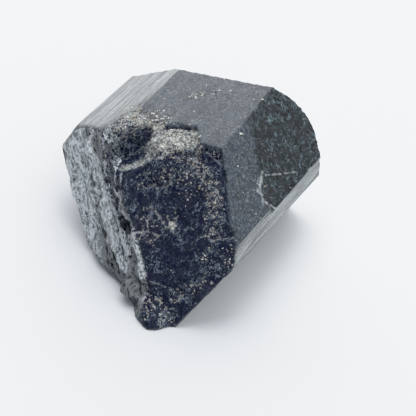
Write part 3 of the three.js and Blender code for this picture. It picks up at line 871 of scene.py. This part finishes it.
class SCENE_OT_crystal(bpy.types.Operator):
    """Make the crystal's skin from its solid, with growth lines, streaks and broken grain"""

    bl_idname = "scene.tourmaline_skin"
    bl_label = "Crystal"

    def execute(self, context):
        sizes = context.scene.crystal_sizes
        skin = self.fine_copy(context, sizes)
        points = points_of(skin.data) / MM
        shares = regions(points)
        marks = cover(points, shares)
        for name, weights in self.weights(points, shares, marks).items():
            weight_group(skin, name, weights)
        for group, passes in SMOOTHING:
            apply_modifier(skin, "SMOOTH", factor=0.5, iterations=passes, vertex_group=group)
        guides = {name: grain_frame(name, *guide) for name, guide in GUIDES.items()}
        apply_modifier(skin, "DISPLACE", strength=-PIT_DEPTH * MM, mid_level=0, vertex_group="pits")
        press_relief(skin, *SWELLS)
        smooth_points = points_of(skin.data)
        for *relief, guide in RELIEF:
            press_relief(skin, *relief, guides.get(guide))
        self.settle(skin)
        skin.vertex_groups.clear()
        fields = {**shares, **marks, "lift": self.lift(skin.data, smooth_points)}
        for name in STONE_FIELDS:
            keep_field(skin.data, name, fields[name])
        for guide in guides.values():
            bpy.data.objects.remove(guide)
        skin.data.materials.clear()
        skin.data.materials.append(stone_material(sizes))
        make_active(skin)
        bpy.ops.object.shade_smooth()
        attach(skin, "root")
        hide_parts("tourmaline_crystal")
        return {"FINISHED"}

    @staticmethod
    def fine_copy(context, sizes):
        """A copy of the solid's mesh, merged and laid out afresh on a fine even grid."""
        deselect()
        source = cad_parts["tourmaline_crystal"]
        skin = source.copy()
        skin.data = source.data.copy()
        skin.name = "crystal_skin"
        context.collection.objects.link(skin)
        make_active(skin)
        bpy.ops.object.mode_set(mode="EDIT")
        bpy.ops.mesh.select_all(action="SELECT")
        bpy.ops.mesh.remove_doubles(threshold=WELD * MM)
        bpy.ops.object.mode_set(mode="OBJECT")
        apply_modifier(skin, "REMESH", mode="VOXEL", voxel_size=sizes.grid, adaptivity=0)
        return skin

    @staticmethod
    def weights(points, shares, marks):
        """Weights of the vertex groups that smoothing and relief go by."""
        above = smoothstep(*PLAIN_HEIGHTS, points[:, 2])
        rough = (shares["broken"] + 0.6 * shares["grown_end"]) * above
        off_corner = np.linalg.norm(points - np.array(BLUNT_CORNER), axis=1)
        return {
            "pits": marks["dark"] * shares["broken"],
            "heap": marks["jumble"] * above,
            "worn": worn_edge(points) * above,
            "corner": 1 - smoothstep(*BLUNT_FADE, off_corner),
            "rough": rough,
            "left": shares["left_break"] * above,
            "ledge": shares["ledge_break"] * above,
            "etch": shares["etched"] * above,
            "whole": (1 - rough) * (1 - shares["etched"]) * above,
        }

    # The stone's material darkens the left face where this is low: painted shade in the relief's hollows.
    @staticmethod
    def lift(mesh, smooth_points):
        """How far the relief raised each point along its normal, in millimetres."""
        normals = np.empty(len(mesh.vertices) * 3, dtype=np.float32)
        mesh.vertex_normals.foreach_get("vector", normals)
        return ((points_of(mesh) - smooth_points) * normals.reshape(-1, 3)).sum(axis=1) / MM

    @staticmethod
    def settle(skin):
        """Keep every point on or above the surface that the crystal rests on."""
        points = points_of(skin.data)
        points[:, 2] = np.maximum(points[:, 2], 0)
        skin.data.vertices.foreach_set("co", points.astype(np.float32).ravel())
        skin.data.update()


class SCENE_OT_flakes(bpy.types.Operator):
    """Scatter small mica flakes over the break and the prism faces"""

    bl_idname = "scene.tourmaline_flakes"
    bl_label = "Mica flakes"

    def execute(self, context):
        sizes = context.scene.flake_sizes
        skin = bpy.data.objects["crystal_skin"]
        pattern = self.pattern()
        place, normal = self.spots(skin.data, sizes)
        rng = np.random.default_rng(sizes.seed + 1)
        radius = sizes.smallest + (sizes.largest - sizes.smallest) * rng.random(sizes.count) ** 4
        corners = np.array([vertex.co[:] for vertex in pattern.vertices])
        faces = [tuple(polygon.vertices) for polygon in pattern.polygons]
        points, polygons, tones = [], [], []
        for i in range(sizes.count):
            tilt = Vector(normal[i]).to_track_quat("Z", "Y")
            leans = (rng.normal(0, FLAKE_LEAN), rng.normal(0, FLAKE_LEAN), rng.random() * FULL_TURN)
            turn = np.array((tilt @ Euler(leans).to_quaternion()).to_matrix())
            shape = corners * (radius[i], radius[i] * (0.55 + 0.45 * rng.random()), radius[i])
            first = len(corners) * i
            points.append(shape @ turn.T + place[i])
            polygons.extend(tuple(first + corner for corner in face) for face in faces)
            tones.append(np.full(len(corners), rng.random()))
        points = np.concatenate(points)
        points[:, 2] = np.maximum(points[:, 2], 0.0)
        mesh = bpy.data.meshes.new("mica_flakes")
        mesh.from_pydata(points.tolist(), [], polygons)
        keep_field(mesh, "tone", np.concatenate(tones))
        mesh.materials.append(flake_material())
        flakes = bpy.data.objects.new("mica_flakes", mesh)
        context.collection.objects.link(flakes)
        bpy.data.meshes.remove(pattern)
        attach(flakes, "root")
        return {"FINISHED"}

    @staticmethod
    def pattern():
        """One thin six-sided plate, a little narrower than it is long."""
        deselect()
        bpy.ops.mesh.primitive_cylinder_add(vertices=6, radius=1, depth=FLAKE_DEPTH)
        plate = bpy.context.object
        bpy.ops.object.mode_set(mode="EDIT")
        bpy.ops.mesh.select_all(action="SELECT")
        bpy.ops.transform.resize(value=FLAKE_SHAPE)
        bpy.ops.object.mode_set(mode="OBJECT")
        mesh = plate.data.copy()
        bpy.data.objects.remove(plate)
        return mesh

    @staticmethod
    def spots(mesh, sizes):
        """Places and normals of the flakes, denser on the break and in the clusters."""
        count = len(mesh.polygons)
        centre, normal = (np.empty(count * 3, dtype=np.float32) for _ in range(2))
        mesh.polygons.foreach_get("center", centre)
        mesh.polygons.foreach_get("normal", normal)
        centre, normal = centre.reshape(-1, 3), normal.reshape(-1, 3)
        points = centre.astype(float) / MM
        shares = regions(points)
        dense = FLAKES_PLAIN + FLAKES_FRONT * shares["front_break"] + FLAKES_LEDGE * shares["ledge_break"]
        for place, radius, gain in FLAKE_CLUSTERS:
            away = np.linalg.norm(points - np.array(place), axis=1) / radius
            dense += gain * CLUSTER_GAIN * np.exp(-2.2 * away**2)
        dark = cover(points, shares)["dark"]
        dense *= (points[:, 2] > FLAKES_FROM) * (1 - FLAKES_LOST * dark)
        rng = np.random.default_rng(sizes.seed)
        chosen = rng.choice(count, sizes.count, replace=False, p=dense / dense.sum())
        return centre[chosen].astype(float), normal[chosen].astype(float)


def studio_point(turn, lean, away):
    """A place seen `turn` degrees round from straight behind the crystal (plus is right), `lean` up."""
    a = math.radians(turn - CAMERA_ROUND)
    e = math.radians(lean)
    return Vector((math.sin(a) * math.cos(e), math.cos(a) * math.cos(e), math.sin(e))) * away


class SCENE_OT_studio(bpy.types.Operator):
    """Add the pale floor, the soft boxes, the room light and the camera"""

    bl_idname = "scene.tourmaline_studio"
    bl_label = "Studio"

    def execute(self, context):
        settings = context.scene.studio_settings
        deselect()
        bpy.ops.mesh.primitive_plane_add(size=FLOOR_SIZE)
        floor = context.object
        floor.name = "floor"
        floor.data.materials.append(floor_material(settings))
        for name, turn, lean, away, size, brightness in SOFT_BOXES:
            self.soft_box(name, studio_point(turn, lean, away), size, brightness)
        context.scene.world = self.room(settings)
        self.tone_curve(context.scene.view_settings)
        self.camera(context)
        return {"FINISHED"}

    @staticmethod
    def room(settings):
        """Even light from all round, but for the dim part of the room to the left of the camera."""
        world = bpy.data.worlds.new("room")
        world.use_nodes = True
        bench = Bench(world.node_tree)
        towards = bench.add("ShaderNodeTexCoord", output="Generated")
        dim = bench.add(
            "ShaderNodeVectorMath",
            {"operation": "DOT_PRODUCT"},
            {0: towards, 1: studio_point(*DIM_CORNER, 1)},
            output="Value",
        )
        bright = scaled(ROOM_TINT, settings.room)
        light = bench.colour(bench.between(*DIM_BORDER, dim), bright, DIM_TINT)
        background = bench.add("ShaderNodeBackground", inputs={"Color": light})
        bench.add("ShaderNodeOutputWorld", inputs={"Surface": background})
        return world

    @staticmethod
    def tone_curve(view_settings):
        """A plain view, whose brightest tones are rolled off as in a light product picture."""
        view_settings.view_transform = "Standard"
        view_settings.use_curve_mapping = True
        mapping = view_settings.curve_mapping
        mapping.clip_max_x = TONE_CURVE[-1][0]
        points = mapping.curves[ALL_COLOURS].points
        points[-1].location = TONE_CURVE[-1]
        for place in TONE_CURVE[:-1]:
            points.new(*place)
        mapping.update()

    @staticmethod
    def soft_box(name, place, size, brightness):
        """A rectangular lamp that faces the crystal."""
        bpy.ops.object.light_add(type="AREA", location=place)
        lamp = bpy.context.object
        lamp.name = name
        lamp.rotation_euler = (-place).to_track_quat("-Z", "Y").to_euler()
        lamp.data.shape = "RECTANGLE"
        lamp.data.size, lamp.data.size_y = size
        lamp.data.energy = brightness * math.pi * size[0] * size[1]

    @staticmethod
    def camera(context):
        """The camera of the scene, which looks down on the break."""
        bpy.ops.object.camera_add(
            location=Vector(CAMERA_PLACE) * MM,
            rotation=(math.radians(90 - CAMERA_DOWN), 0, math.radians(CAMERA_ROUND)),
        )
        view = context.object
        view.name = "view"
        view.data.lens = CAMERA_LENS
        view.data.clip_start = CAMERA_NEAREST
        context.scene.camera = view


class VIEW3D_PT_crystal(bpy.types.Panel):
    """Lists the crystal's pieces and their settings."""

    bl_idname = "VIEW3D_PT_crystal"
    bl_label = "Tourmaline crystal"
    bl_space_type = "VIEW_3D"
    bl_region_type = "UI"
    bl_category = "Crystal"

    def draw(self, context):
        for title, group, operator in (
            ("Crystal", context.scene.crystal_sizes, SCENE_OT_crystal),
            ("Mica flakes", context.scene.flake_sizes, SCENE_OT_flakes),
            ("Studio", context.scene.studio_settings, SCENE_OT_studio),
        ):
            box = self.layout.box()
            box.label(text=title)
            for name in group.__annotations__:
                box.prop(group, name)
            box.operator(operator.bl_idname)


GROUPS = {
    "crystal_sizes": CrystalSizes,
    "flake_sizes": FlakeSizes,
    "studio_settings": StudioSettings,
}
OPERATORS = (SCENE_OT_crystal, SCENE_OT_flakes, SCENE_OT_studio)


def register():
    for name, group in GROUPS.items():
        bpy.utils.register_class(group)
        setattr(bpy.types.Scene, name, PointerProperty(type=group))
    for operator in OPERATORS:
        bpy.utils.register_class(operator)
    bpy.utils.register_class(VIEW3D_PT_crystal)


def unregister():
    bpy.utils.unregister_class(VIEW3D_PT_crystal)
    for operator in reversed(OPERATORS):
        bpy.utils.unregister_class(operator)
    for name, group in reversed(GROUPS.items()):
        delattr(bpy.types.Scene, name)
        bpy.utils.unregister_class(group)


def main():
    register()
    bpy.ops.scene.tourmaline_studio()
    bpy.ops.scene.tourmaline_skin()
    bpy.ops.scene.tourmaline_flakes()


if __name__ == "__main__":
    main()
